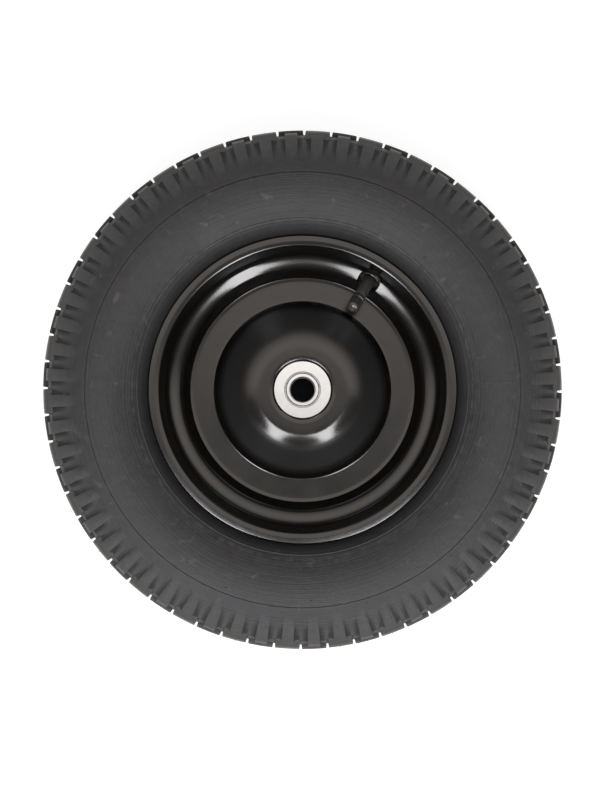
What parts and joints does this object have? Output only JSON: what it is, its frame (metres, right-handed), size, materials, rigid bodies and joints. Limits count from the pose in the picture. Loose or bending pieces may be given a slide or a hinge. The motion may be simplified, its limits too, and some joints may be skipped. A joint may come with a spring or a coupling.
{
  "type": "pneumatic wheel",
  "caption": "Pneumatic barrow wheel: block-tread tyre and tube on a black pressed steel rim with flanged ball bearings and an angled valve.",
  "frame": {"origin": "centre of the wheel, on its axis and at the tyre's mid-plane", "axes": "+Z along the wheel's axis towards the side with the valve, +X and +Y radial"},
  "size_m": [0.3994, 0.3994, 0.104],
  "materials": {
    "tyre_rubber": "matt",
    "tube_rubber": "satin",
    "stem_rubber": "satin",
    "black_enamel": "gloss",
    "zinc_steel": "zinc plated",
    "bearing_steel": "polished",
    "brass": "machined",
    "seal_plastic": "matt",
    "cap_plastic": "satin"
  },
  "bodies": {
    "wheel": {"tyre": "tyre_rubber", "inner_tube": "tube_rubber", "rim_front": "black_enamel", "rim_back": "black_enamel", "hub_tube": "black_enamel", "front_outer_race": "zinc_steel", "back_outer_race": "zinc_steel", "rubber_stem": "stem_rubber", "brass_stem": "brass", "valve_core": "brass", "core_seal": "seal_plastic"},
    "front_inner_ring": {"front_inner_race": "zinc_steel"},
    "back_inner_ring": {"back_inner_race": "zinc_steel"},
    "front_ball_set": {"front_ball_cage": "bearing_steel", "front_balls": "bearing_steel"},
    "back_ball_set": {"back_ball_cage": "bearing_steel", "back_balls": "bearing_steel"},
    "cap": {"valve_cap": "cap_plastic"},
    "pin": {"valve_pin": "brass"}
  },
  "joints": [
    {"name": "front_ring_turn", "type": "hinge", "parent": "wheel", "child": "front_inner_ring", "pos_m": [0, 0, 0.03], "axis": [0, 0, 1], "continuous": true},
    {"name": "back_ring_turn", "type": "hinge", "parent": "wheel", "child": "back_inner_ring", "pos_m": [0, 0, -0.03], "axis": [0, 0, 1], "continuous": true},
    {"name": "front_balls_turn", "type": "hinge", "parent": "wheel", "child": "front_ball_set", "pos_m": [0, 0, 0.029], "axis": [0, 0, 1], "continuous": true},
    {"name": "back_balls_turn", "type": "hinge", "parent": "wheel", "child": "back_ball_set", "pos_m": [0, 0, -0.029], "axis": [0, 0, 1], "continuous": true},
    {"name": "cap_lift", "type": "slide", "parent": "wheel", "child": "cap", "axis": [-0.3991, -0.6539, 0.6428], "range_m": [0, 0.012]},
    {"name": "pin_press", "type": "slide", "parent": "wheel", "child": "pin", "axis": [0.3991, 0.6539, -0.6428], "range_m": [0, 0.001], "stiffness_N_per_m": 800, "springref_m": -0.001}
  ],
  "couplings": [
    {"joint": "front_balls_turn", "follows": "front_ring_turn", "ratio": 0.39477},
    {"joint": "back_balls_turn", "follows": "back_ring_turn", "ratio": 0.39477}
  ]
}
